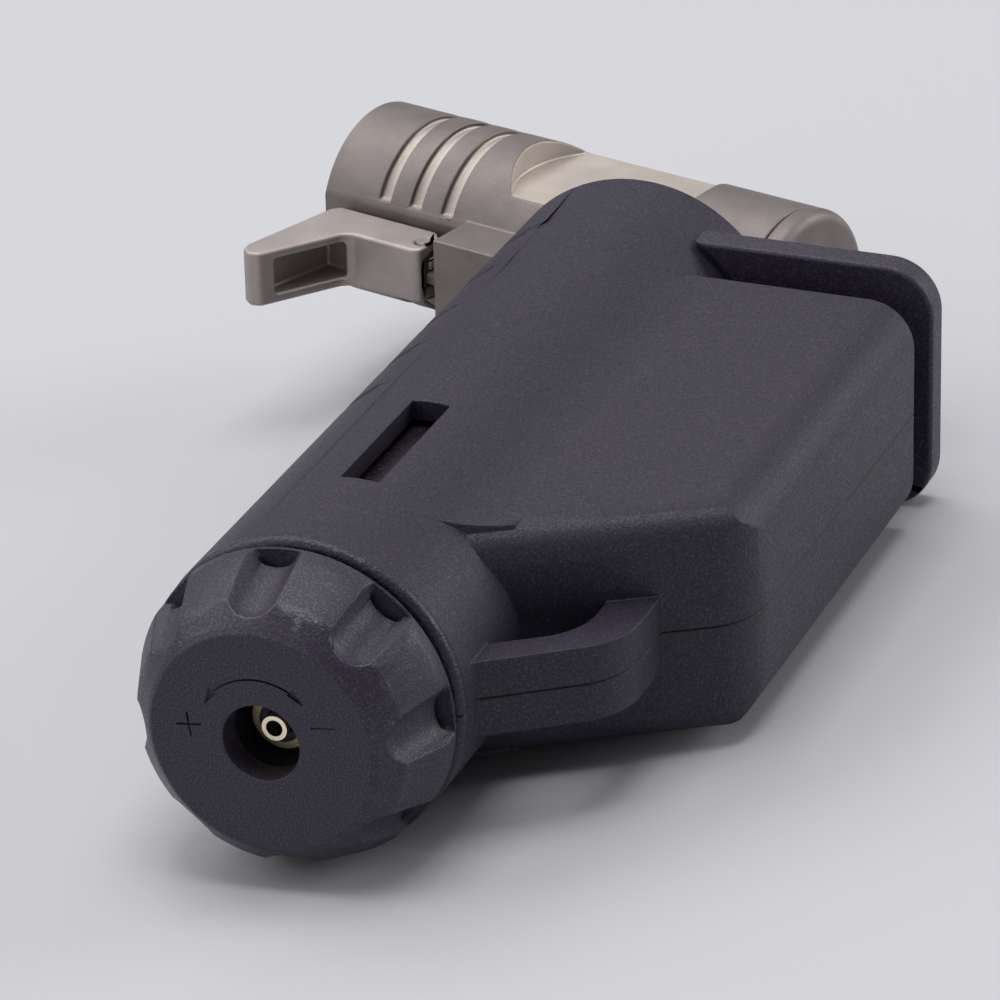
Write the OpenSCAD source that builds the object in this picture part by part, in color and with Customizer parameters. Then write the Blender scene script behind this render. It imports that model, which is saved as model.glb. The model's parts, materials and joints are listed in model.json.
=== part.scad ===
// Pocket butane torch with a square-set burner head.
// The grip tube runs along +Y from the flame knob to the head, +X is the
// piezo side and +Z is the visible side of the parting plane. The origin is
// the mouth of the refill port, in the middle of the flame knob's face.

/* [Grip housing] */
// Outer radius of the grip tube
grip_r = 10; // [9.6:0.1:10.6]
// Length of the grip tube, from its knob end to its head end
grip_len = 57.8; // [57:0.1:59]
// Wall thickness of the two moulded shells
wall = 1.4; // [1.2:0.1:1.5]
// Number of finger grooves moulded into the front of the grip
groove_count = 5; // [3:1:5]

/* [Piezo block] */
// Distance from the grip axis to the back of the piezo block
block_x = 22.1; // [21.6:0.1:23]
// Half of the piezo block's thickness
block_half = 7.7; // [7.2:0.1:8]
// Distance from the grip's knob end to the block's upper end
block_end = 48.6; // [48:0.1:49]

/* [Burner head] */
// Outer radius of the burner barrel
barrel_r = 6.8; // [6.6:0.1:7]
// Tilt of the barrel away from square to the grip, in degrees
barrel_tilt = 14.4; // [12:0.2:16]
// Distance from the grip axis to the barrel's mouth, along the barrel
muzzle = 25.6; // [24:0.1:27]

/* [Flame knob] */
// How far the knob stands out of the grip
knob_h = 6.8; // [6:0.1:7.4]
// Radius of the knob's flat face
knob_face_r = 7.3; // [7:0.1:7.6]
// Number of thumb flutes around the knob
flute_count = 8; // [6:1:10]

/* [Ignition] */
// Free travel of the ignition button
button_travel = 2.8; // [2:0.1:2.9]

/* [Hidden] */

// Fits
eps = 0.01;
run_gap = 0.05;      // radial clearance of running fits
move_gap = 0.3;      // gap between faces that move past each other
big = 200;

// Grip tube, measured from its knob end
rim_y = knob_h;      // the grip's knob end, seen from the origin
bore_r = grip_r - wall;
groove_pitch = 6.5;
groove_first = 24.3;
groove_w = 1.9;
groove_depth = 0.7;
groove_centre = 1.465; // the grooves' floor circle is off centre, so that they run out
window_y = [9, 20.4];
window_w = 2.5;
end_wall = 1.2;
rim_edge_r = 0.6;

// Piezo block
block_edge_r = 3.1;
block_corner_r = 5;
front_angle = 31.8;  // slope of the block's knob-side face
front_x = 17.4;      // one point of that face
front_y = 14.1;
front_edge_r = 2.4;
block_in_x = block_x - wall;
block_in_z = block_half - wall;

// Blend between the grip tube and the block's flat sides
blend_r = 10;
blend_x = sqrt((grip_r + blend_r) ^ 2 - (block_half + blend_r) ^ 2);
blend_sink = 0.03;   // how far the blend's arc dips below both surfaces

// Lanyard loop: each edge is a slanted line that bends up into the block
loop_half = 2.5;
loop_foot = 7;
outer_bend = [12.04, 10.4];
outer_bend_r = 5.26;
outer_lean = 35.7;
inner_bend = [9.77, 10.6];
inner_bend_r = 4.63;
inner_lean = 34.4;

// Burner head, measured along and across the barrel from the grip axis
barrel_y = 64.8;
cap_s = -9.2;        // where the rear cap meets the barrel
cap_t = 1.6;
flame_r = 5.3;       // inner radius of the barrel at its mouth
throat_r = 4.5;      // inner radius behind the burner
throat_s = 12.4;
neck_r = bore_r - 0.2;
neck_half = 5;
neck_y = 49.6;
belly_w = 10;        // depth of the head's underside below the barrel axis
belly_s = 13.5;
belly_half = 3;
slot_s = [20.5, 17.9, 15.2];
slot_w = 0.95;
slot_depth = 0.45;
under_flat = 6.4;    // flat on the barrel's underside
flat_s = 5;          // rounded end of the flats on the neck
flat_r = 7.3;
electrode_at = [2.2, 2.95];
electrode_r = 0.3;
insulator_r = 0.8;

// Lock lever, in barrel coordinates
pin_s = 15.3;
pin_w = 8.7;
lever_pin_r = 0.5;
knuckle_r = 0.85;
lever_half = 2;
lug_half = 0.8;
lug_gap = 0.15;

// Flame knob and refill valve, measured from the grip's knob end
knob_hub_r = 6.4;
knob_lip_r = 7.6;
knob_back = -0.5;
knob_shoulder = [8.6, -5.3];
sign_turn = 8;
plus_at = [-4.45, 1.15];
minus_at = [4.2, 1.1];
sign_depth = 0.14;
flute_turn = 6;
flute_r = 2;
flute_lean = 16;
flute_end = -0.95;   // front side of the rim behind the flutes
collar_y = [1.6, 3.1];
port_r = 2.43;
port_len = 1.9;
sleeve_r = 2.2;
sleeve_head_r = 3.4;
stem_r = 0.8;
stem_hole_r = 0.53;
stem_tip = -4.8;

// Fuel tank, measured from the grip's knob end
tank_r = 8.2;
tank_wall = 0.9;
tank_y = [6.6, 42];
valve_r = 2.6;
valve_chamber_r = 1.5;
pin_valve_r = 0.8;
lever_pin_big = 0.75;

// Piezo unit and ignition button
piezo_x = 16.5;
piezo_w = 7.4;
piezo_y = [21.4, 36.9];
plate_y = 51.8;
plate_t = 2.2;
plate_half = 8.6;
plate_x = 22.3;
plate_r = 3.4;
stem_x = [13.4, 19.9];
button_stem_half = 4.6;
plunger_tip = piezo_y[1] + 4.4;

// Gas lever that lifts the outlet valve's pin
lever_pivot = [9.6, 45.4];
lever_arm = 0.4;     // half of the arm's thickness
lever_reach = 10.8;  // from the pivot to the fork's tip
lever_press = 5.3;   // from the pivot to the end that the button presses
lift_y = lever_pivot[1] + lever_arm + 0.1;

// Shell screws
screws = [[17.4, 18.3], [10.9, 41.4], [0, 53.4]];
screw_r = 0.9;
screw_head_r = 1.5;
screw_boss_r = 2.1;
pilot_z = 5.2;

// ---------------------------------------------------------------- helpers

// Places children from the grip's knob end.
module from_rim() { translate([0, rim_y, 0]) children(); }

// A cylinder along +Y from y0 to y1.
module y_cyl(r, y0, y1) {
    translate([0, y0, 0]) rotate([-90, 0, 0]) cylinder(r = r, h = y1 - y0, $fn = 96);
}

// A tube along +Y.
module y_tube(r_out, r_in, y0, y1) {
    difference() {
        y_cyl(r_out, y0, y1);
        y_cyl(r_in, y0 - 1, y1 + 1);
    }
}

// A turned part: points are [radius, y].
module y_turned(points) {
    rotate([-90, 0, 0]) rotate_extrude($fn = 96) polygon([for (p = points) [p[0], p[1]]]);
}

// Barrel coordinates: x runs to the mouth, y runs down toward the grip.
module on_barrel() {
    from_rim() translate([0, barrel_y, 0]) rotate([0, 0, 180 - barrel_tilt]) children();
}

// A cylinder along the barrel from s0 to s1.
module s_cyl(r, s0, s1) {
    translate([s0, 0, 0]) rotate([0, 90, 0]) cylinder(r = r, h = s1 - s0, $fn = 96);
}

module s_tube(r_out, r_in, s0, s1) {
    difference() {
        s_cyl(r_out, s0, s1);
        s_cyl(r_in, s0 - 1, s1 + 1);
    }
}

// A cylinder along Z, from z0 to z1.
module z_cyl(r, z0, z1) { translate([0, 0, z0]) cylinder(r = r, h = z1 - z0, $fn = 48); }

// A box given by its corners.
module span(low, high) { translate(low) cube(high - low); }

// A round wire or hose swept along a list of points, none of them steep in Z.
module swept(points, r, sides = 8) {
    last = len(points) - 1;
    ring = [for (i = [0:last]) for (k = [0:sides - 1])
        let (t = points[min(i + 1, last)] - points[max(i - 1, 0)], side = cross(t, [0, 0, 1]),
            across = side / norm(side), up = cross(across, t) / norm(t), a = k * 360 / sides)
        points[i] + r * (cos(a) * across + sin(a) * up)];
    walls = [for (i = [0:last - 1]) for (k = [0:sides - 1]) for (half = [0, 1])
        let (a = i * sides + k, b = i * sides + (k + 1) % sides)
        half == 0 ? [a, b, b + sides] : [a, b + sides, a + sides]];
    ends = [[for (k = [sides - 1:-1:0]) k], [for (k = [0:sides - 1]) last * sides + k]];
    polyhedron(ring, concat(walls, ends));
}

// Points of a coil along +Z, with nearly closed end turns.
function coil_points(r, length, turns, steps = 14) = [for (i = [0:turns * steps])
    let (u = i / (turns * steps), a = u * turns * 360, flat = 0.5 - 0.5 * cos(u * 180))
    [r * cos(a), r * sin(a), length * (0.45 * u + 0.55 * flat)]];

// A coil spring along +Z whose ends touch 0 and length.
module coil(r, wire, length, turns) {
    translate([0, 0, wire]) swept(coil_points(r, length - 2 * wire, turns), wire, 6);
}

// The side of the parting plane that a shell lies on: 1 is up, -1 is down.
module half_space(side) {
    translate([-big / 2, -big / 2, side > 0 ? 0 : -big]) cube([big, big, big]);
}

// ---------------------------------------------------------------- housing

// Outline of the piezo block in plan, shrunk by inset.
module block_plan(inset) {
    run = block_x - inset;
    end = block_end - inset;
    r = block_corner_r - inset;
    face_y = function (x) front_y + inset / cos(front_angle) + (x - front_x) * tan(front_angle);
    cx = run - r;
    cy = face_y(cx) + r / cos(front_angle);
    polygon([[0, face_y(0)], [cx + r * sin(front_angle), cy - r * cos(front_angle)], [run, cy],
        [run, end], [0, end]]);
    translate([cx, cy]) circle(r = r, $fn = 64);
}

// Section of the block across the grip, with rounded back edges.
module block_section(inset) {
    half = block_half - inset;
    run = block_x - inset;
    r = block_edge_r - inset / 2;
    polygon([[0, -half], [run - r, -half], [run - r, half], [0, half]]);
    polygon([[0, -half + r], [run, -half + r], [run, half - r], [0, half - r]]);
    for (side = [-1, 1]) translate([run - r, side * (half - r)]) circle(r = r, $fn = 48);
}

// Section across the sloping face, so that its edges are rounded too.
module front_section(inset) {
    half = block_half - inset;
    r = front_edge_r - inset / 2;
    polygon([[r, -half], [big / 2, -half], [big / 2, half], [r, half]]);
    polygon([[0, -half + r], [r + 1, -half + r], [r + 1, half - r], [0, half - r]]);
    for (side = [-1, 1]) translate([r, side * (half - r)]) circle(r = r, $fn = 48);
}

module block_solid(inset) {
    intersection() {
        translate([0, 0, -20]) linear_extrude(40) block_plan(inset);
        rotate([90, 0, 0]) translate([0, 0, -60]) linear_extrude(60) block_section(inset);
        translate([front_x, front_y + inset / cos(front_angle), 0]) rotate([0, 0, front_angle])
            rotate([90, 0, 90]) translate([0, 0, -60]) linear_extrude(120) front_section(inset);
    }
}

// What lies behind one edge of the loop, in plan.
module behind_edge(bend, r, lean) {
    top = front_y + 3;
    touch = bend + r * [sin(lean), -cos(lean)];
    foot_y = touch[1] - (touch[0] - loop_foot) * tan(lean);
    polygon([[loop_foot, foot_y], touch, bend, [bend[0], top], [loop_foot, top]]);
    translate(bend) circle(r = r, $fn = 96);
    translate(bend) square([r, top - bend[1]]);
}

// Lanyard loop between the grip's knob end and the block's sloping face
module loop_bar() {
    translate([0, 0, -loop_half]) linear_extrude(2 * loop_half) difference() {
        behind_edge(outer_bend, outer_bend_r, outer_lean);
        behind_edge(inner_bend, inner_bend_r, inner_lean);
    }
}

// Grooves for the fingers on the -X side. They run out toward the tube's top.
module finger_grooves() {
    floor_r = grip_r - groove_depth + groove_centre;
    flare = groove_depth + 1;
    for (i = [0:groove_count - 1]) intersection() {
        translate([groove_centre, groove_first + i * groove_pitch, 0]) rotate([-90, 0, 0])
            rotate_extrude($fn = 96) polygon([[floor_r, -groove_w / 4], [floor_r + flare, -groove_w],
                [floor_r + flare, groove_w], [floor_r, groove_w / 4]]);
        span([-big, 0, -big], [0, grip_len, big]);
    }
}

// The grip tube, with the edges of its two ends rounded.
module grip_tube() {
    rotate([-90, 0, 0]) rotate_extrude($fn = 96) {
        square([grip_r - rim_edge_r, grip_len]);
        translate([0, rim_edge_r]) square([grip_r, grip_len - 2 * rim_edge_r]);
        for (y = [rim_edge_r, grip_len - rim_edge_r]) translate([grip_r - rim_edge_r, y])
            circle(r = rim_edge_r, $fn = 48);
    }
}

// Concave blends that carry the tube's sides over into the block's flat sides
module side_blends() {
    touch = grip_r / (grip_r + blend_r) * [blend_x, block_half + blend_r];
    for (side = [-1, 1]) intersection() {
        translate([0, 0, -20]) linear_extrude(40) block_plan(front_edge_r / 2);
        rotate([90, 0, 0]) translate([0, 0, -block_end]) linear_extrude(block_end) difference() {
            polygon([[touch[0], side * (block_half - 1)], [touch[0], side * touch[1]],
                [blend_x, side * block_half], [blend_x, side * (block_half - 1)]]);
            translate([blend_x, side * (block_half + blend_r)]) circle(r = blend_r + blend_sink, $fn = 128);
        }
    }
}

module housing_body() {
    grip_tube();
    side_blends();
    block_solid(0);
    loop_bar();
}

// Everything hollow inside the two shells.
module housing_hollow() {
    y_cyl(knob_hub_r + run_gap, -1, 8);
    y_cyl(knob_lip_r + move_gap, collar_y[1], 8);
    y_cyl(knob_lip_r + move_gap, -1, collar_y[0]);
    y_cyl(bore_r, 5, grip_len - end_wall);
    block_solid(wall);
    // Mouth for the button's stem
    span([stem_x[0] - move_gap, block_end - wall - 1, -button_stem_half - move_gap],
        [stem_x[1] + move_gap, block_end + 1, button_stem_half + move_gap]);
    // Mouth for the head's neck and its barrel
    intersection() {
        y_cyl(neck_r + 0.1, grip_len - end_wall - 1, grip_len + 1);
        span([-big, 0, -neck_half - 0.1], [big, big, neck_half + 0.1]);
    }
}

module barrel_clearance() {
    translate([0, barrel_y, 0]) rotate([0, 0, 180 - barrel_tilt]) {
        s_cyl(barrel_r + 0.15, -20, 12);
        span([4, 0, -belly_half - 0.1], [belly_s + 1, belly_w + 0.1, belly_half + 0.1]);
    }
}

module shell_half(side) {
    difference() {
        intersection() {
            housing_body();
            half_space(side);
        }
        housing_hollow();
        finger_grooves();
        barrel_clearance();
    }
}

// A screw boss on one shell, from its floor to the parting plane or the neck.
module boss(place, side, foot, face) {
    z0 = side > 0 ? face : -foot;
    z1 = side > 0 ? foot : -face;
    translate([place[0], place[1], 0]) z_cyl(screw_boss_r, z0, z1);
}

// Length of each boss's inner end from the parting plane
function boss_face(i) = i == 2 ? neck_half : 0;
function boss_foot(i) = i == 2 ? bore_r + 0.4 : block_in_z + 0.4;
function head_depth(i) = i == 2 ? 2.2 : 1.9;
function outer_z(i) = i == 2 ? grip_r : block_half;

module upper_shell() {
    color("#25252b") from_rim() difference() {
        union() {
            shell_half(1);
            for (i = [0:2]) boss(screws[i], 1, boss_foot(i), boss_face(i));
        }
        for (p = screws) translate([p[0], p[1], 0]) z_cyl(screw_r, -1, pilot_z);
        translate([screws[2][0], screws[2][1], 0]) z_cyl(screw_r, -1, pilot_z + 1.6);
        span([-window_w / 2, window_y[0], 0], [window_w / 2, window_y[1], grip_r + 1]);
    }
}

module lower_shell() {
    color("#25252b") from_rim() difference() {
        union() {
            shell_half(-1);
            for (i = [0:2]) boss(screws[i], -1, boss_foot(i), boss_face(i));
        }
        for (i = [0:2]) translate([screws[i][0], screws[i][1], 0]) {
            z_cyl(screw_r + 0.2, -grip_r - 1, 1);
            z_cyl(screw_head_r + 0.15, -grip_r - 1, -outer_z(i) + head_depth(i));
        }
    }
}

// Countersunk-slot screws, driven from below
module shell_screws() {
    color("#8c8c90") from_rim() for (i = [0:2]) {
        head_z = -outer_z(i) + head_depth(i);
        translate([screws[i][0], screws[i][1], 0]) difference() {
            union() {
                z_cyl(screw_head_r, head_z - 1.2, head_z);
                z_cyl(screw_r, head_z - eps, i == 2 ? pilot_z + 1.2 : pilot_z - 0.6);
            }
            for (turn = [0, 90]) rotate([0, 0, turn])
                translate([0, 0, head_z - 1.2]) cube([2.2, 0.45, 1.1], center = true);
        }
    }
}

// ---------------------------------------------------------------- flame knob

// Thumb flutes, cut in the knob's tapering side. Each has a ball end behind the
// face's edge, runs back to the rim that closes it, and ends there in a slot.
module knob_flutes() {
    for (i = [0:flute_count - 1]) rotate([0, -flute_turn - i * 360 / flute_count, 0]) {
        intersection() {
            translate([knob_face_r + 2.45, -knob_h + 1.25, 0]) rotate([0, 0, -flute_lean]) {
                sphere(r = flute_r, $fn = 64);
                y_cyl(flute_r, 0, 8);
            }
            span([0, -knob_h, -flute_r], [2 * grip_r, flute_end, flute_r]);
        }
        span([8.5, flute_end - 0.4, -1.15], [grip_r, flute_end, 1.15]);
    }
}

// One arrowhead of the dial's arc, pointing along +X.
module arrow_head() {
    polygon([[-0.2, -0.3], [0.95, 0], [-0.2, 0.3]]);
}

// Dial signs in the knob's face: plus, minus and a double-headed arc between them
module dial_signs() {
    line = 0.14;
    arm = 0.8;
    arc_r = 4.15;
    arc_from = 51;
    arc_to = 129;
    translate([0, -knob_h + sign_depth, 0]) rotate([90, 0, 0]) linear_extrude(1) rotate(sign_turn) {
        translate(plus_at) for (turn = [0, 90]) rotate(turn)
            square([2 * arm, line], center = true);
        translate(minus_at) square([2 * arm, line], center = true);
        difference() {
            intersection() {
                circle(r = arc_r + line / 2, $fn = 96);
                polygon([[0, 0], 9 * [cos(arc_from), sin(arc_from)], [0, 12], 9 * [cos(arc_to), sin(arc_to)]]);
            }
            circle(r = arc_r - line / 2, $fn = 96);
        }
        translate(arc_r * [cos(arc_from), sin(arc_from)]) rotate(arc_from - 102) arrow_head();
        translate(arc_r * [cos(arc_to), sin(arc_to)]) rotate(arc_to + 102) arrow_head();
    }
}

module adjust_knob() {
    color("#2a2a2f") from_rim() difference() {
        y_turned([[0, -knob_h], [knob_face_r - 0.25, -knob_h], [knob_face_r, -knob_h + 0.25],
            knob_shoulder, [9.85, -2.1], [9.9, -1.6], [9.9, knob_back - 0.25], [9.6, knob_back], [knob_hub_r, knob_back],
            [knob_hub_r, collar_y[1] + move_gap], [knob_lip_r, collar_y[1] + move_gap],
            [knob_lip_r, 4.6], [0, 4.6]]);
        knob_flutes();
        dial_signs();
        y_cyl(port_r, -knob_h - 1, 6);
        y_cyl(port_r + 0.4, -knob_h + port_len, -1);
        y_cyl(sleeve_head_r, -1, 6);
    }
}

module regulator_sleeve() {
    color("#a58d62") from_rim() difference() {
        union() {
            y_turned([[0, -3.6], [sleeve_r - 0.3, -3.6], [sleeve_r, -3.2], [sleeve_r, 12], [0, 12]]);
            y_cyl(sleeve_head_r, -1, 3);
        }
        y_cyl(stem_r + run_gap, -5, 13);
        y_cyl(stem_r + 0.6, -5, -2.8);
        y_cyl(1.6, 4.2, 11.4);
    }
}

module refill_stem() {
    color("#d8c6a6") from_rim() difference() {
        union() {
            y_cyl(stem_r, stem_tip, 8);
            y_cyl(1.3, 4.3, 5.1);
        }
        y_cyl(stem_hole_r, stem_tip - 1, 6.4);
    }
}

module stem_seal() {
    color("#141416") from_rim() y_tube(stem_r + 0.55, stem_r + run_gap, -3.9, -2.9);
}

module stem_spring() {
    color("#b8b8bc") from_rim() translate([0, 5.1, 0]) rotate([-90, 0, 0]) coil(1.1, 0.16, 6.2, 5);
}

// ---------------------------------------------------------------- fuel system

module fuel_tank() {
    color("#bfc3c4") from_rim() difference() {
        y_cyl(tank_r, tank_y[0], tank_y[1]);
        y_cyl(tank_r - tank_wall, tank_y[0] - 1, tank_y[1] - 1.2);
        y_cyl(valve_r - 0.6, tank_y[1] - 2, tank_y[1] + 1);
    }
}

module tank_cap() {
    color("#c9c6b4") from_rim() difference() {
        union() {
            y_cyl(tank_r, 5.2, tank_y[0]);
            y_cyl(tank_r - tank_wall, tank_y[0] - eps, 9);
            y_cyl(3.4, 9 - eps, 12.6);
        }
        y_cyl(sleeve_r + run_gap, 4, 14);
        // Groove for the gasket
        difference() {
            y_cyl(tank_r, 7.4, 8.4);
            y_cyl(tank_r - tank_wall - 0.6, 7, 9);
        }
        // Light-weight ring pocket on the outer side
        difference() {
            y_cyl(6.6, 9.2, 10);
            y_cyl(3.4, 9, 11);
        }
    }
}

module tank_gasket() {
    color("#101012") from_rim() y_tube(tank_r - tank_wall, tank_r - tank_wall - 0.6, 7.4, 8.4);
}

module outlet_valve() {
    foot = tank_y[1] - 3.4;
    color("#a58d62") from_rim() difference() {
        union() {
            y_cyl(valve_r - 0.6, foot, tank_y[1]);
            y_cyl(valve_r, tank_y[1], tank_y[1] + 2.2);
        }
        y_cyl(pin_valve_r + run_gap, foot - 1, tank_y[1] + 3);
        y_cyl(valve_chamber_r, foot + 0.4, tank_y[1] + 1.4);
    }
}

module valve_pin() {
    foot = tank_y[1] - 3;
    color("#c8c8ca") from_rim() difference() {
        union() {
            y_cyl(pin_valve_r, foot, lift_y + 0.8);
            y_cyl(valve_chamber_r - 0.2, foot + 0.4, foot + 1.2);
            y_cyl(2 * pin_valve_r, lift_y, lift_y + 0.8);
        }
        y_cyl(0.35, foot + 2, lift_y + 1);
    }
}

module valve_spring() {
    foot = tank_y[1] - 1.8;
    color("#b8b8bc") from_rim() translate([0, foot, 0]) rotate([-90, 0, 0])
        coil(1.1, 0.14, 3.2, 5);
}

// A forked rocker: the button presses its short arm and its fork lifts the pin.
module gas_lever() {
    color("#7d7f83") from_rim() translate([lever_pivot[0], lever_pivot[1], 0]) difference() {
        union() {
            z_cyl(1.4, -3, 3);
            span([-lever_reach, -lever_arm, -2.6], [lever_press, lever_arm, 2.6]);
        }
        z_cyl(lever_pin_big + run_gap, -4, 4);
        span([-lever_reach - 1, -2, -pin_valve_r - move_gap],
            [-lever_pivot[0] + pin_valve_r + move_gap, 2, pin_valve_r + move_gap]);
    }
}

module gas_lever_pin() {
    color("#c0c0c2") from_rim() translate([lever_pivot[0], lever_pivot[1], 0])
        z_cyl(lever_pin_big, -block_in_z, block_in_z);
}

// Gas hose: it bows round the middle screw on its way from the pin to the jet
hose_r = 0.7;
hose_bow = 2.7;
hose_y = [lift_y + 0.8, 57];
hose_steps = 12;
module gas_hose() {
    run = hose_y[1] - hose_y[0] - 0.8;
    bowed = [for (i = [0:hose_steps]) let (u = i / hose_steps)
        [-hose_bow * (0.5 - 0.5 * cos(u * 360)), hose_y[0] + 0.4 + u * run, 0]];
    color("#d9d6c8") from_rim()
        swept(concat([[0, hose_y[0], 0]], bowed, [[0, hose_y[1], 0]]), hose_r, 10);
}

// ---------------------------------------------------------------- ignition

module piezo_body() {
    half = piezo_w / 2;
    color("#e6e2d6") from_rim() difference() {
        union() {
            span([piezo_x - half, piezo_y[0], -half], [piezo_x + half, piezo_y[1], half]);
            span([piezo_x - half - 0.8, piezo_y[0] + 4, -half - 0.8],
                [piezo_x + half + 0.0, piezo_y[0] + 5.6, half + 0.8]);
        }
        translate([piezo_x, 0, 0]) y_cyl(2.6 + run_gap, piezo_y[0] + 5, piezo_y[1] + 1);
    }
}

module piezo_plunger() {
    color("#3b5f8a") from_rim() translate([piezo_x, 0, 0]) difference() {
        union() {
            y_cyl(2.6, piezo_y[0] + 8.6, plunger_tip - 1.4);
            y_cyl(3.1, plunger_tip - 1.4, plunger_tip);
        }
        y_cyl(1.7, piezo_y[0] + 8, piezo_y[0] + 13.8);
    }
}

module piezo_spring() {
    color("#b8b8bc") from_rim() translate([piezo_x, piezo_y[0] + 5, 0]) rotate([-90, 0, 0])
        coil(1.2, 0.2, 8.8, 7);
}

module plate_outline() {
    polygon([[4.5, -plate_half], [plate_x - plate_r, -plate_half],
        [plate_x - plate_r, plate_half], [4.5, plate_half]]);
    polygon([[4.5, -plate_half + plate_r], [plate_x, -plate_half + plate_r],
        [plate_x, plate_half - plate_r], [4.5, plate_half - plate_r]]);
    for (side = [-1, 1]) translate([plate_x - plate_r, side * (plate_half - plate_r)])
        circle(r = plate_r, $fn = 48);
}

// The thumb plate saddles the grip; its hollow stem presses the piezo unit.
module ignition_button() {
    stem_wall = 1.2;
    color("#26262c") from_rim() difference() {
        union() {
            rotate([90, 0, 0]) translate([0, 0, -plate_y - plate_t]) linear_extrude(plate_t)
                plate_outline();
            span([stem_x[0], plunger_tip, -button_stem_half],
                [stem_x[1], plate_y + eps, button_stem_half]);
        }
        y_cyl(grip_r + move_gap, plate_y - 1, plate_y + plate_t + 1);
        span([stem_x[0] + stem_wall, plunger_tip + stem_wall, -button_stem_half + stem_wall],
            [stem_x[1] - stem_wall, plate_y - 1, button_stem_half + 1]);
        // Notch for the gas lever's short arm, which it presses at full travel
        span([stem_x[0] - 1, lever_pivot[1] - 1.2, -3], [lever_pivot[0] + lever_press + 0.5,
            lever_pivot[1] + lever_arm + button_travel + run_gap, 3]);
    }
}

// High-voltage lead from the piezo unit, round the tank and up into the barrel
wire_r = 0.4;
wire_in_block = [[14, 20.9, 0], [11.5, 19, 2.5], [9.6, 23, 4.6], [9.2, 34, 4.6], [8, 38.6, 4.2],
    [8, 43.6, 4.2], [6.4, 46.2, 3.8], [5.2, 48.8, 2.9], [5.2, 60.8, 2.9]];
wire_in_barrel = [[-4.8, 2.3, 2.9], [4, 2.2, 2.95], [9.6, 2.2, 2.95]];

// A point in barrel coordinates, seen from the grip's knob end
function from_barrel(p) = [-p[0] * cos(barrel_tilt) - p[1] * sin(barrel_tilt),
    barrel_y + p[0] * sin(barrel_tilt) - p[1] * cos(barrel_tilt), p[2]];

module ignition_wire() {
    color("#9c2f2a") from_rim()
        swept(concat(wire_in_block, [for (p = wire_in_barrel) from_barrel(p)]), wire_r, 8);
}

// ---------------------------------------------------------------- burner head

module gill_slots() {
    for (s = slot_s) for (side = [-1, 1]) intersection() {
        s_tube(barrel_r + 1, barrel_r - slot_depth, s - slot_w / 2, s + slot_w / 2);
        span([s - 2, -3.4, side > 0 ? 2.9 : -barrel_r - 1], [s + 2, barrel_r, side > 0 ? barrel_r + 1 : -2.9]);
    }
}

// Flats where the neck runs up into the barrel, with a rounded end
module neck_flats() {
    for (side = [-1, 1]) translate([0, 0, side > 0 ? neck_half : -neck_half - 4]) {
        translate([flat_s, 0, 0]) z_cyl(flat_r, 0, 4);
        span([-2, -flat_r, 0], [flat_s, flat_r, 4]);
    }
}

// Pocket in the neck for the hose, which bows round the middle screw
module hose_pocket() {
    half = hose_r + 0.3;
    span([-hose_bow - half, neck_y - 1, -half], [half, hose_y[1] + eps, half]);
    y_cyl(hose_r + run_gap, hose_y[1] - 1, 61);
}

module head_casting() {
    color("#9c938b") difference() {
        union() {
            on_barrel() s_cyl(barrel_r, cap_s, muzzle);
            on_barrel() span([2, 0, -belly_half], [belly_s, belly_w, belly_half]);
            on_barrel() span([belly_s - 1, pin_w - 0.6, -lug_half], [pin_s, pin_w + 0.6, 0]);
            on_barrel() translate([pin_s, pin_w, 0]) z_cyl(knuckle_r, -lug_half, 0);
            from_rim() intersection() {
                y_cyl(neck_r, neck_y, barrel_y);
                span([-big, 0, -neck_half], [big, big, neck_half]);
            }
        }
        on_barrel() {
            s_cyl(barrel_r + eps, cap_s - cap_t - 2, cap_s);
            s_cyl(throat_r, cap_s - 1, muzzle);
            s_cyl(flame_r, throat_s, muzzle + 1);
            gill_slots();
            neck_flats();
            span([belly_s, under_flat, -4], [muzzle + 1, barrel_r + 0.2, 4]);
            translate([pin_s, pin_w, 0]) z_cyl(lever_pin_r, -3, 3);
        }
        from_rim() {
            hose_pocket();
            translate([wire_in_block[7][0], 0, wire_in_block[7][2]]) y_cyl(wire_r + 0.2, neck_y - 1, 61);
            translate([screws[2][0], screws[2][1], 0]) z_cyl(screw_r + 0.2, -6, 6);
        }
    }
}

module barrel_cap() {
    edge = 0.8;
    color("#a09388") on_barrel() translate([cap_s, 0, 0]) rotate([0, -90, 0])
        rotate_extrude($fn = 96) {
            polygon([[0, -cap_t], [throat_r, -cap_t], [throat_r, 0], [barrel_r, 0], [barrel_r, cap_t - edge],
                [barrel_r - edge, cap_t], [0, cap_t]]);
            translate([barrel_r - edge, cap_t - edge]) circle(r = edge, $fn = 32);
        }
}

module burner_tube() {
    color("#6f6a68") on_barrel() s_tube(flame_r, flame_r - 0.35, throat_s + 2.2, muzzle - 1.2);
}

module flame_holder() {
    color("#8d7f6c") on_barrel() difference() {
        s_cyl(flame_r, throat_s + 1, throat_s + 2.2);
        for (i = [0:8]) rotate([i * 40 + 15, 0, 0]) translate([0, 0, 2.7]) s_cyl(0.5, throat_s, throat_s + 3);
        for (i = [0:3]) rotate([i * 90, 0, 0]) translate([0, 0, 1.2]) s_cyl(0.4, throat_s, throat_s + 3);
        translate([0, electrode_at[0], electrode_at[1]]) s_cyl(insulator_r, throat_s, throat_s + 3);
    }
}

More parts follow.
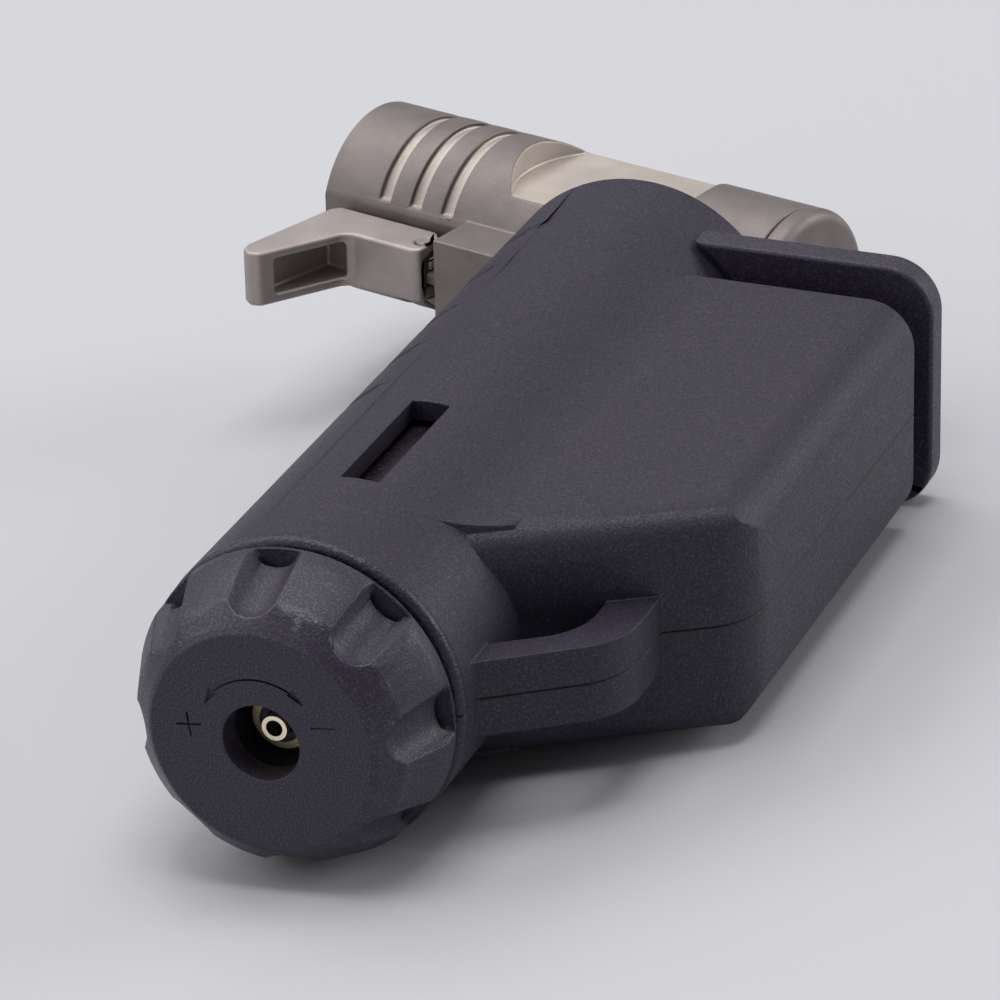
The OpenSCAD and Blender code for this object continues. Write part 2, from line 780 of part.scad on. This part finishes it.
module mixing_tube() {
    color("#a58d62") on_barrel() difference() {
        union() {
            s_cyl(2.7, 3.2, throat_s + 1);
            s_cyl(flame_r, throat_s, throat_s + 1);
        }
        s_cyl(2.2, 3, throat_s + 2);
        for (turn = [0:60:300]) rotate([turn, 0, 0]) translate([4.9, 0, 0]) z_cyl(0.6, 0, 4);
        translate([0, electrode_at[0], electrode_at[1]]) s_cyl(insulator_r, throat_s - 1, throat_s + 2);
    }
}

module jet_nozzle() {
    color("#b39a5f") {
        on_barrel() difference() {
            union() {
                s_cyl(1.6, cap_s + cap_t, -3);
                s_cyl(2.4, -3, 2.2);
                s_cyl(1.1, 2.2, 4.4);
            }
            s_cyl(0.35, -1, 3);
            s_cyl(0.12, 2, 5);
        }
        // Inlet nipple that the hose is pushed against
        from_rim() y_cyl(hose_r, hose_y[1], barrel_y - 2.3);
    }
}

module electrode_insulator() {
    color("#e8e4da") on_barrel() translate([0, electrode_at[0], electrode_at[1]])
        s_tube(insulator_r, electrode_r, 9.6, 16.4);
}

module spark_electrode() {
    color("#8a8682") on_barrel() translate([0, electrode_at[0], electrode_at[1]]) {
        s_cyl(electrode_r, 9.6, 18.6);
        // The spark tip is bent in toward the flame
        translate([18.6, 0, 0]) sphere(r = electrode_r, $fn = 24);
        translate([18.6, 0, 0]) rotate([145, 0, 0]) cylinder(r = electrode_r, h = 1.5, $fn = 24);
    }
}

// ---------------------------------------------------------------- lock lever

// Side view of the lever: its body under the barrel and its finger tab
lever_outline = [[14.9, 7.4], [15.5, 6.8], [23.8, 6.8], [24.3, 7.5], [25.3, 15.5], [25.1, 16.3],
    [24.3, 16.8], [23.5, 16.5], [20.9, 10.7], [20.2, 10.25], [15.3, 10.25], [14.6, 9.9], [14.6, 7.8]];
lever_trough = [[21.4, 9.6], [23.1, 9.4], [24.1, 15.4], [22.4, 15.4], [20, 11.4]];

module lock_lever() {
    color("#a39a92") on_barrel() difference() {
        translate([0, 0, -lever_half]) linear_extrude(2 * lever_half) polygon(lever_outline);
        translate([0, 0, -1.3]) linear_extrude(2.6) polygon(lever_trough);
        // Pocket for the lug and the spring, open toward the barrel and the belly
        span([14, 6, -lug_half - lug_gap], [pin_s + knuckle_r + lug_gap, pin_w + knuckle_r + lug_gap,
            lug_half + lug_gap]);
        translate([pin_s, pin_w, 0]) z_cyl(lever_pin_r + run_gap, -3, 3);
    }
}

module lever_pin() {
    color("#c9c4bd") on_barrel() translate([pin_s, pin_w, 0]) z_cyl(lever_pin_r, -lever_half - 0.1, lever_half + 0.1);
}

// Torsion spring round the pin, with one leg on the belly and one on the lever
module lever_spring() {
    wire = 0.11;
    turn_r = 0.72;
    length = 0.7;
    steps = 14;
    turns = coil_points(turn_r, length - 2 * wire, 3, steps);
    leg = [belly_s - pin_s, -turn_r, 0];
    first = [for (p = turns) [p[1], -p[0], p[2]]];
    color("#b8b8bc") on_barrel() translate([pin_s, pin_w, 0.08 + wire])
        swept(concat([leg], first, [[0.97, -turn_r, length - 2 * wire]]), wire, 6);
}

// ---------------------------------------------------------------- nodes

upper_shell();
lower_shell();
shell_screws();
adjust_knob();
regulator_sleeve();
refill_stem();
stem_seal();
stem_spring();
fuel_tank();
tank_cap();
tank_gasket();
outlet_valve();
valve_pin();
valve_spring();
gas_lever();
gas_lever_pin();
gas_hose();
piezo_body();
piezo_plunger();
piezo_spring();
ignition_button();
ignition_wire();
head_casting();
barrel_cap();
burner_tube();
flame_holder();
mixing_tube();
jet_nozzle();
electrode_insulator();
spark_electrode();
lock_lever();
lever_pin();
lever_spring();
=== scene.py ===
"""Pocket butane torch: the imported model's solids, dressed for the render.

The grip runs along +Y from the flame knob to the burner head, +X is the piezo
side and +Z is the shell with the fuel window. Lengths are in metres.
"""

import json
import math

import bpy
from mathutils import Euler, Matrix, Vector

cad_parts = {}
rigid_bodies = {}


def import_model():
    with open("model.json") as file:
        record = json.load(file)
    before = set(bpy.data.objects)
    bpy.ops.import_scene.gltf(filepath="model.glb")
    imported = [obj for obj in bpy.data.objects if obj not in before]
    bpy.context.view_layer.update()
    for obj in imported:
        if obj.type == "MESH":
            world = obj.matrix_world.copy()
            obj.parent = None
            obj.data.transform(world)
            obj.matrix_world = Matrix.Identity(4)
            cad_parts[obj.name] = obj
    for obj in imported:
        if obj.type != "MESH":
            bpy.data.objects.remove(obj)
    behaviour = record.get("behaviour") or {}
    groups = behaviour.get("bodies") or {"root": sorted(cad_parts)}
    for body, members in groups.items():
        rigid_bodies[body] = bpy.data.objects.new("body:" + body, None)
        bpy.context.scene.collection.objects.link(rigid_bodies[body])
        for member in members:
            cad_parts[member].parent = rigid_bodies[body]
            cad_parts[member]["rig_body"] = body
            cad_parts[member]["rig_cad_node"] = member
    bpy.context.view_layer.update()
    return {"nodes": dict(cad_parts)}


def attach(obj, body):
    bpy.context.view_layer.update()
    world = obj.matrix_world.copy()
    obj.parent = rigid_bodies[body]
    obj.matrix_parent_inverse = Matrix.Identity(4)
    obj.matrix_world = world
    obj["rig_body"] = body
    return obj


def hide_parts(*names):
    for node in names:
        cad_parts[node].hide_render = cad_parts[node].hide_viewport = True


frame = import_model()
nodes = frame["nodes"]

MM = 0.001
RIM_Y = 6.8 * MM  # the grip's knob end
GRIP_R = 10 * MM
HEAD_FLAT_Z = 5 * MM  # the flats on the sides of the burner head

# The barrel lies across the grip's end, and points are placed along it from the grip's axis
BARREL_CENTRE = Vector((0, RIM_Y + 64.8 * MM, 0))
BARREL_R = 6.8 * MM
BARREL_TURN = Matrix.Rotation(math.radians(180 - 14.4), 3, "Z")
BARREL_ALONG = BARREL_TURN @ Vector((1, 0, 0))
BARREL_ACROSS = BARREL_TURN @ Vector((0, 1, 0))

# The skin that is laid again: between the two gill slots nearest the mouth, and
# on the upper shell between the last finger grooves
SLOT_LAND = (18.375 * MM, 20.025 * MM)
SLOT_ENDS = (-3.4 * MM, 2.9 * MM)  # across the barrel, and up it
GROOVE_LANDS = ((45.05 * MM, 49.65 * MM), (51.55 * MM, 56.15 * MM))
GROOVE_END_X = -2 * MM
PARTING_GAP = 0.12 * MM
SKIN_WALL = 0.35 * MM

MERGE = 0.002 * MM
FLAT_ANGLE = math.radians(0.5)  # faces closer than this become one
EDGE_ANGLE = math.radians(28)  # an edge sharper than this is rounded
SMOOTH_ANGLE = math.radians(35)


# ------------------------------------------------------------ making shapes


def deselect_all():
    if bpy.context.object and bpy.context.object.mode != "OBJECT":
        bpy.ops.object.mode_set(mode="OBJECT")
    bpy.ops.object.select_all(action="DESELECT")


def make_active(piece):
    deselect_all()
    piece.select_set(True)
    bpy.context.view_layer.objects.active = piece


def apply_modifiers(piece):
    make_active(piece)
    for modifier in list(piece.modifiers):
        bpy.ops.object.modifier_apply(modifier=modifier.name)


def barrel_place(point):
    """How far a point is along the barrel, and how far out from the barrel's axis."""
    reach = point - BARREL_CENTRE
    along = reach.dot(BARREL_ALONG)
    return along, (reach - along * BARREL_ALONG).length


def is_dial_sign(point):
    """Whether a point is on the signs cut in the knob's face, whose edges stay crisp."""
    return point.y < 0.2 * MM and 2.8 * MM < math.hypot(point.x, point.z) < 6.8 * MM


def rounded_copy(node, name, width):
    """A copy of a solid with its edges rounded, which stands in its place."""
    body = nodes[node]["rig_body"]
    piece = nodes[node].copy()
    piece.data = nodes[node].data.copy()
    bpy.context.scene.collection.objects.link(piece)
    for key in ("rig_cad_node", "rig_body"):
        if key in piece:
            del piece[key]
    piece.name = name
    piece.data.name = name
    piece.parent = None
    make_active(piece)
    bpy.ops.object.mode_set(mode="EDIT")
    bpy.ops.mesh.select_all(action="SELECT")
    bpy.ops.mesh.remove_doubles(threshold=MERGE)
    bpy.ops.mesh.dissolve_limited(angle_limit=FLAT_ANGLE)
    bpy.ops.mesh.select_mode(type="EDGE")
    bpy.ops.mesh.select_all(action="DESELECT")
    bpy.ops.mesh.edges_select_sharp(sharpness=EDGE_ANGLE)
    bpy.ops.object.mode_set(mode="OBJECT")
    weights = piece.data.attributes.new("bevel_weight_edge", "FLOAT", "EDGE")
    for edge, weight in zip(piece.data.edges, weights.data):
        ends = [piece.data.vertices[i].co for i in edge.vertices]
        crisp = all(is_dial_sign(point) for point in ends)
        weight.value = 1 if edge.select and not crisp else 0
    bevel = piece.modifiers.new("edges", "BEVEL")
    bevel.width = width
    bevel.segments = 3
    bevel.limit_method = "WEIGHT"
    bevel.miter_outer = "MITER_ARC"
    bevel.use_clamp_overlap = False
    apply_modifiers(piece)
    make_active(piece)
    bpy.ops.object.shade_smooth_by_angle(angle=SMOOTH_ANGLE)
    normals = piece.modifiers.new("normals", "WEIGHTED_NORMAL")
    normals.keep_sharp = True
    apply_modifiers(piece)
    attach(piece, body)
    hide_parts(node)
    return piece


def skin_band(name, radius, start, end, centre, along, cuts):
    """A band of a round skin, from start to end along its axis.

    Each cut is a point and a direction: the band keeps what lies that way of the point.
    """
    bpy.ops.mesh.primitive_cylinder_add(
        vertices=384, radius=radius, depth=end - start, end_fill_type="NOTHING",
        location=centre + along * (start + end) / 2,
        rotation=along.to_track_quat("Z", "Y").to_euler(),
    )
    piece = bpy.context.object
    piece.name = name
    bpy.ops.object.transform_apply(location=True, rotation=True, scale=True)
    bpy.ops.object.mode_set(mode="EDIT")
    for point, inward in cuts:
        bpy.ops.mesh.select_all(action="SELECT")
        bpy.ops.mesh.bisect(plane_co=point, plane_no=inward, clear_inner=True)
    bpy.ops.object.mode_set(mode="OBJECT")
    wall = piece.modifiers.new("wall", "SOLIDIFY")
    wall.thickness = SKIN_WALL
    wall.offset = -1
    edges = piece.modifiers.new("edges", "BEVEL")
    edges.width = 0.1 * MM
    edges.segments = 3
    apply_modifiers(piece)
    bpy.ops.object.shade_smooth_by_angle(angle=SMOOTH_ANGLE)
    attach(piece, "housing")
    return piece


# ------------------------------------------------------------ finishes


def new_finish(name):
    """A material, its tree and its shader."""
    finish = bpy.data.materials.new(name)
    finish.use_nodes = True
    return finish, finish.node_tree, finish.node_tree.nodes["Principled BSDF"]


def place(tree):
    """The object's own coordinates: the point, then its x, y and z."""
    point = tree.nodes.new("ShaderNodeTexCoord").outputs["Object"]
    parts = tree.nodes.new("ShaderNodeSeparateXYZ")
    tree.links.new(point, parts.inputs["Vector"])
    return point, parts.outputs["X"], parts.outputs["Y"], parts.outputs["Z"]


def maths(tree, kind, *values):
    """One step of arithmetic, on numbers or on other nodes' results."""
    node = tree.nodes.new("ShaderNodeMath")
    node.operation = kind
    for socket, value in zip(node.inputs, values):
        if isinstance(value, (int, float)):
            socket.default_value = value
        else:
            tree.links.new(value, socket)
    return node.outputs["Value"]


def fade(tree, value, start, end, low=0.0, high=1.0):
    """A level that goes from low to high while the value goes from start to end."""
    node = tree.nodes.new("ShaderNodeMapRange")
    tree.links.new(value, node.inputs["Value"])
    levels = {"From Min": start, "From Max": end, "To Min": low, "To Max": high}
    for socket, level in levels.items():
        node.inputs[socket].default_value = level
    return node.outputs["Result"]


def blend_colour(tree, amount, under, over):
    """The colour under, with the colour over laid on it by an amount."""
    node = tree.nodes.new("ShaderNodeMix")
    node.data_type = "RGBA"
    tree.links.new(amount, node.inputs["Factor"])
    for socket, colour in ((node.inputs["A"], under), (node.inputs["B"], over)):
        if isinstance(colour, tuple):
            socket.default_value = colour
        else:
            tree.links.new(colour, socket)
    return node.outputs["Result"]


def noise(tree, size, detail=3.0, roughness=0.55, stretch=(1, 1, 1)):
    """Noise over the object whose features are about the given size across."""
    mapping = tree.nodes.new("ShaderNodeMapping")
    mapping.inputs["Scale"].default_value = stretch
    tree.links.new(place(tree)[0], mapping.inputs["Vector"])
    texture = tree.nodes.new("ShaderNodeTexNoise")
    texture.inputs["Scale"].default_value = 1 / size
    texture.inputs["Detail"].default_value = detail
    texture.inputs["Roughness"].default_value = roughness
    tree.links.new(mapping.outputs["Vector"], texture.inputs["Vector"])
    return texture.outputs["Fac"]


def shade(colour, amount):
    """The colour made darker or paler by an amount, as a shader takes it."""
    return tuple(min(1, c * amount) for c in colour) + (1,)


def relief(tree, shader, height, depth):
    """Raises the surface by the height's level times the depth."""
    node = tree.nodes.new("ShaderNodeBump")
    node.inputs["Distance"].default_value = depth
    node.inputs["Strength"].default_value = 1
    tree.links.new(height, node.inputs["Height"])
    tree.links.new(node.outputs["Normal"], shader.inputs["Normal"])


def moulded_plastic(name, colour, grain, roughness=0.5, depth=0.02 * MM, marks=None):
    """Plastic from a spark-eroded mould: fine grain with painted shade in its pits and painted
    glints on its peaks, and a soft cloud of tone.

    The marks are a function that lays a piece's own details over tone, height and gloss.
    """
    finish, tree, shader = new_finish(name)
    fine = noise(tree, grain, 2.5, 0.6)
    broad = noise(tree, 7 * MM, 2.0)
    cloud = fade(tree, broad, 0.3, 0.7)
    tone = blend_colour(tree, cloud, shade(colour, 0.9), shade(colour, 1.1))
    # Painted shade: the grain's low points are darkened
    tone = blend_colour(tree, fade(tree, fine, 0.5, 0.3, 0, 0.8), tone, shade(colour, 0.3))
    # Painted glints: the grain's peaks are paled
    tone = blend_colour(tree, fade(tree, fine, 0.54, 0.7, 0, 0.9), tone, shade(colour, 3.4))
    gloss = fade(tree, fine, 0.3, 0.7, roughness + 0.1, roughness - 0.1)
    shader.inputs["Specular IOR Level"].default_value = 0.4
    height = fine
    if marks:
        tone, height, gloss = marks(tree, tone, height, gloss)
    tree.links.new(tone, shader.inputs["Base Color"])
    tree.links.new(gloss, shader.inputs["Roughness"])
    relief(tree, shader, height, depth)
    return finish


def shell_marks(tree, tone, height, gloss):
    """The ragged parting line of the two shells, painted as a near-black line of shade in the gap
    between them with brownish flecks, and the coarse grain of the rim's lip.
    """
    _, _, y, z = place(tree)
    rag = noise(tree, 0.3 * MM, 3, 0.7)
    # Painted shade: a near-black ragged line along z = 0 stands in for the shade in the gap
    # between the shells, with brownish flecks
    off_line = maths(tree, "MULTIPLY_ADD", rag, 0.12 * MM, maths(tree, "ABSOLUTE", z))
    line = fade(tree, off_line, 0.20 * MM, 0.15 * MM)
    fleck = fade(tree, noise(tree, 0.16 * MM, 2), 0.66, 0.72)
    painted_gap_shade = blend_colour(tree, fleck, (0.004, 0.002, 0.002, 1), (0.10, 0.06, 0.05, 1))
    tone = blend_colour(tree, line, tone, painted_gap_shade)
    lip = fade(tree, y, RIM_Y + 0.9 * MM, RIM_Y + 0.6 * MM)
    coarse = noise(tree, 0.24 * MM, 1.5, 0.5)
    height = maths(tree, "MULTIPLY_ADD", maths(tree, "MULTIPLY", coarse, lip), 2.2, height)
    gloss = maths(tree, "MULTIPLY_ADD", lip, -0.12, gloss)
    return tone, height, gloss


def knob_marks(tree, tone, height, gloss):
    """The glossy coarse lands beside the knob's face, and the shade in its cut signs."""
    point, _, y, _ = place(tree)
    flat = tree.nodes.new("ShaderNodeVectorMath")
    flat.operation = "MULTIPLY"
    flat.inputs[1].default_value = (1, 0, 1)
    tree.links.new(point, flat.inputs[0])
    length = tree.nodes.new("ShaderNodeVectorMath")
    length.operation = "LENGTH"
    tree.links.new(flat.outputs["Vector"], length.inputs[0])
    out = length.outputs["Value"]
    # The lands lie outside a cone that widens from the face
    cone = maths(tree, "MULTIPLY_ADD", y, 1.04, 7.04 * MM)
    inside = maths(tree, "SUBTRACT", out, cone)
    land = fade(tree, inside, -0.25 * MM, -0.15 * MM)
    land = maths(tree, "MULTIPLY", land, fade(tree, y, 0.2 * MM, 0.32 * MM))
    land = maths(tree, "MULTIPLY", land, fade(tree, y, 1.9 * MM, 1.55 * MM))
    coarse = noise(tree, 0.22 * MM, 1.5, 0.5)
    height = maths(tree, "MULTIPLY_ADD", maths(tree, "MULTIPLY", coarse, land), 3.0, height)
    gloss = maths(tree, "MULTIPLY_ADD", land, -0.12, gloss)
    below_face = fade(tree, y, 0.05 * MM, 0.1 * MM)
    cut = maths(tree, "MULTIPLY", below_face, fade(tree, y, 0.3 * MM, 0.2 * MM))
    cut = maths(tree, "MULTIPLY", cut, fade(tree, out, 6.9 * MM, 6.7 * MM))
    cut = maths(tree, "MULTIPLY", cut, fade(tree, out, 2.7 * MM, 2.8 * MM))
    tone = blend_colour(tree, cut, tone, (0.006, 0.004, 0.008, 1))
    return tone, height, gloss


def satin_metal(
    name, colour, roughness, grain=0.12 * MM, depth=0.002 * MM, stretch=(1, 1, 1)
):
    """Metal with a fine blasted or turned grain and a faintly clouded tone."""
    finish, tree, shader = new_finish(name)
    shader.inputs["Metallic"].default_value = 1
    fine = noise(tree, grain, 3, 0.6, stretch)
    broad = noise(tree, 3 * MM, 2)
    cloud = fade(tree, broad, 0.3, 0.7)
    tone = blend_colour(tree, cloud, shade(colour, 0.9), shade(colour, 1.08))
    gloss = fade(tree, fine, 0.3, 0.7, roughness - 0.06, roughness + 0.06)
    tree.links.new(tone, shader.inputs["Base Color"])
    tree.links.new(gloss, shader.inputs["Roughness"])
    relief(tree, shader, fine, depth)
    return finish


def plain_plastic(name, colour, roughness=0.4):
    """Smooth plastic, rubber or glaze with hardly any grain."""
    return moulded_plastic(name, colour, 0.3 * MM, roughness, 0.003 * MM)


shell_finish = moulded_plastic(
    "shell plastic", (0.0150, 0.0110, 0.0235), 0.15 * MM, 0.52, 0.03 * MM, shell_marks
)
button_finish = moulded_plastic("button plastic", (0.022, 0.017, 0.031), 0.15 * MM)
knob_finish = moulded_plastic(
    "knob plastic", (0.0235, 0.0185, 0.033), 0.12 * MM, 0.5, 0.012 * MM, knob_marks
)
nickel = satin_metal("satin nickel", (0.22, 0.192, 0.186), 0.6, 0.16 * MM, 0.004 * MM)
lever_nickel = satin_metal("lever nickel", (0.40, 0.35, 0.335), 0.6, 0.16 * MM, 0.004 * MM)
# A paler copy of the satin nickel: painted highlight for the head's milled flats, slot floors and
# steps
nickel_with_painted_highlight = satin_metal("nickel flat with painted highlight", (0.52, 0.46, 0.42), 0.58, 0.2 * MM, 0.003 * MM)
brass = satin_metal("turned brass", (0.72, 0.58, 0.36), 0.34, 0.12 * MM, 0.02 * MM, (1, 8, 1))
pale_brass = satin_metal("pale brass", (0.86, 0.76, 0.60), 0.22)
steel = satin_metal("steel", (0.58, 0.57, 0.56), 0.3)
scorched = satin_metal("scorched steel", (0.20, 0.17, 0.15), 0.45)
rubber = plain_plastic("black rubber", (0.012, 0.012, 0.012), 0.5)
smoked_nylon = plain_plastic("smoked nylon", (0.020, 0.013, 0.018), 0.3)
natural_nylon = plain_plastic("natural nylon", (0.60, 0.57, 0.48))
blue_nylon = plain_plastic("blue nylon", (0.07, 0.15, 0.32))
red_jacket = plain_plastic("red wire jacket", (0.28, 0.04, 0.03))
ceramic = plain_plastic("glazed ceramic", (0.78, 0.75, 0.68), 0.2)

FINISHES = {
    shell_finish: ["upper_shell", "lower_shell"],
    button_finish: ["ignition_button"],
    knob_finish: ["adjust_knob"],
    nickel: ["head_casting", "barrel_cap"],
    lever_nickel: ["lock_lever"],
    brass: ["regulator_sleeve", "outlet_valve", "mixing_tube", "jet_nozzle"],
    pale_brass: ["refill_stem"],
    steel: [
        "shell_screws", "stem_spring", "valve_pin", "valve_spring", "gas_lever", "gas_lever_pin",
        "piezo_spring", "spark_electrode", "lever_pin", "lever_spring",
    ],
    scorched: ["burner_tube", "flame_holder"],
    rubber: ["stem_seal", "tank_gasket"],
    smoked_nylon: ["fuel_tank"],
    natural_nylon: ["tank_cap", "gas_hose", "piezo_body"],
    blue_nylon: ["piezo_plunger"],
    red_jacket: ["ignition_wire"],
    ceramic: ["electrode_insulator"],
}


def coat(piece, finish):
    """Gives a piece one finish all over."""
    piece.data.materials.clear()
    piece.data.materials.append(finish)


for finish, members in FINISHES.items():
    for node in members:
        coat(nodes[node], finish)


# ------------------------------------------------------------ pieces

# Solid: the rounded piece's name, its edge radius and its material slot
ROUNDED = {
    "upper_shell": ("upper_shell_moulding", 0.1 * MM, "shell_plastic"),
    "lower_shell": ("lower_shell_moulding", 0.1 * MM, "shell_plastic"),
    "ignition_button": ("thumb_button", 0.3 * MM, "button_plastic"),
    "adjust_knob": ("flame_knob", 0.12 * MM, "knob_plastic"),
    "head_casting": ("burner_head", 0.15 * MM, "head_alloy"),
    "barrel_cap": ("rear_cap", 0.3 * MM, "head_alloy"),
    "lock_lever": ("lever_pressing", 0.25 * MM, "head_alloy"),
}
for node, (name, width, slot) in ROUNDED.items():
    rounded_copy(node, name, width)



def is_milled(face):
    """Whether a face of the burner head is on a side flat, in a gill slot or on a flat's step."""
    along, out = barrel_place(face.center)
    height = abs(face.center.z)
    flat = abs(face.normal.z) > 0.999 and abs(height - HEAD_FLAT_Z) < 0.02 * MM
    slot = along > 14 * MM and 6.2 * MM < out < 6.68 * MM and height > 2.85 * MM
    step = 0 < along < 12.5 * MM and out < 6.74 * MM and height > 4.95 * MM
    return flat or slot or step


# The milled places get a paler copy of the casting's nickel: painted highlight for the light they
# reflect
burner_head = bpy.data.objects["burner_head"]
burner_head.data.materials.append(nickel_with_painted_highlight)
for face in burner_head.data.polygons:
    if is_milled(face):
        face.material_index = 1

UP = (0, 0, 1)
foot = BARREL_CENTRE + BARREL_ACROSS * SLOT_ENDS[0]
cuts = ((foot, BARREL_ACROSS), ((0, 0, SLOT_ENDS[1]), UP))
band_r = BARREL_R + 0.01 * MM
land = skin_band("slot_land", band_r, *SLOT_LAND, BARREL_CENTRE, BARREL_ALONG, cuts)
coat(land, nickel)

GRIP_CENTRE = Vector((0, 0, 0))
GRIP_ALONG = Vector((0, 1, 0))
cuts = (((GROOVE_END_X, 0, 0), (-1, 0, 0)), ((0, 0, PARTING_GAP), UP))
for start, end in GROOVE_LANDS:
    land = skin_band("groove_land", GRIP_R, start, end, GRIP_CENTRE, GRIP_ALONG, cuts)
    coat(land, shell_finish)


# ------------------------------------------------------------ the room


def floor_finish():
    finish, _, shader = new_finish("pale floor")
    shader.inputs["Base Color"].default_value = (0.50, 0.50, 0.523, 1)
    shader.inputs["Roughness"].default_value = 0.7
    return finish


# The torch lies on its grip and its thumb plate, so the floor slopes a little under it
FLOOR_TILT = math.radians(4.3)
bpy.ops.mesh.primitive_plane_add(size=3)
floor = bpy.context.object
floor.name = "floor"
drop = Matrix.Translation((0, 0, -GRIP_R / math.cos(FLOOR_TILT)))
floor.data.transform(drop @ Matrix.Rotation(-FLOOR_TILT, 4, "Y"))
coat(floor, floor_finish())


# Softbox: where it stands, its width and height in metres, and its power in watts
SOFTBOXES = {
    "overhead softbox": ((0, 0.035, 1.6), (0.96, 0.96), 15.2),
    "left softbox": ((-1.28, 0.0, 0.96), (1.44, 1.28), 11.0),
    "back left softbox": ((-0.8, 0.72, 1.28), (0.96, 0.96), 5.6),
    "back right softbox": ((1.2, 0.96, 0.64), (0.8, 0.8), 10.8),
    "back softbox": ((0.0, 1.52, 0.96), (1.28, 0.8), 2.0),
    "front fill": ((-0.72, -1.28, 0.64), (1.28, 0.96), 4.6),
}
GRIP_MIDDLE = Vector((0, 35 * MM, 0))  # what every softbox points at


def softbox(name, stand, size, power):
    """A rectangular lamp pointed at the middle of the grip."""
    data = bpy.data.lights.new(name, "AREA")
    data.shape = "RECTANGLE"
    data.size, data.size_y = size
    data.energy = power
    light = bpy.data.objects.new(name, data)
    bpy.context.scene.collection.objects.link(light)
    light.location = stand
    light.rotation_euler = (GRIP_MIDDLE - Vector(stand)).to_track_quat("-Z", "Y").to_euler()


for name, (stand, size, power) in SOFTBOXES.items():
    softbox(name, stand, size, power)


def studio_air(lighting, reflected, seen):
    """Dim light from all round, paler in reflections and pale where the camera sees it."""
    world = bpy.data.worlds.new("studio")
    world.use_nodes = True
    tree = world.node_tree
    background = tree.nodes["Background"]
    background.inputs["Color"].default_value = (0.8, 0.81, 0.85, 1)
    path = tree.nodes.new("ShaderNodeLightPath")
    air = fade(tree, path.outputs["Is Glossy Ray"], 0, 1, lighting, reflected)
    backdrop = maths(tree, "MULTIPLY", path.outputs["Is Camera Ray"], seen)
    strength = maths(tree, "MAXIMUM", air, backdrop)
    tree.links.new(strength, background.inputs["Strength"])
    return world


bpy.context.scene.world = studio_air(0.22, 0.34, 0.85)

# A long lens from a little above the knob's end
CAMERA_PLACE = (0.126669, -0.273463, 0.161778)
CAMERA_TURN = [math.radians(angle) for angle in (64.0627, 1.3130, 21.4915)]
camera_data = bpy.data.cameras.new("camera")
camera_data.sensor_width = 36
camera_data.lens = 210.8
camera_data.clip_start = 0.01
camera = bpy.data.objects.new("camera", camera_data)
bpy.context.scene.collection.objects.link(camera)
camera.location = CAMERA_PLACE
camera.rotation_euler = Euler(CAMERA_TURN)
bpy.context.scene.camera = camera
bpy.context.scene.view_settings.view_transform = "Standard"
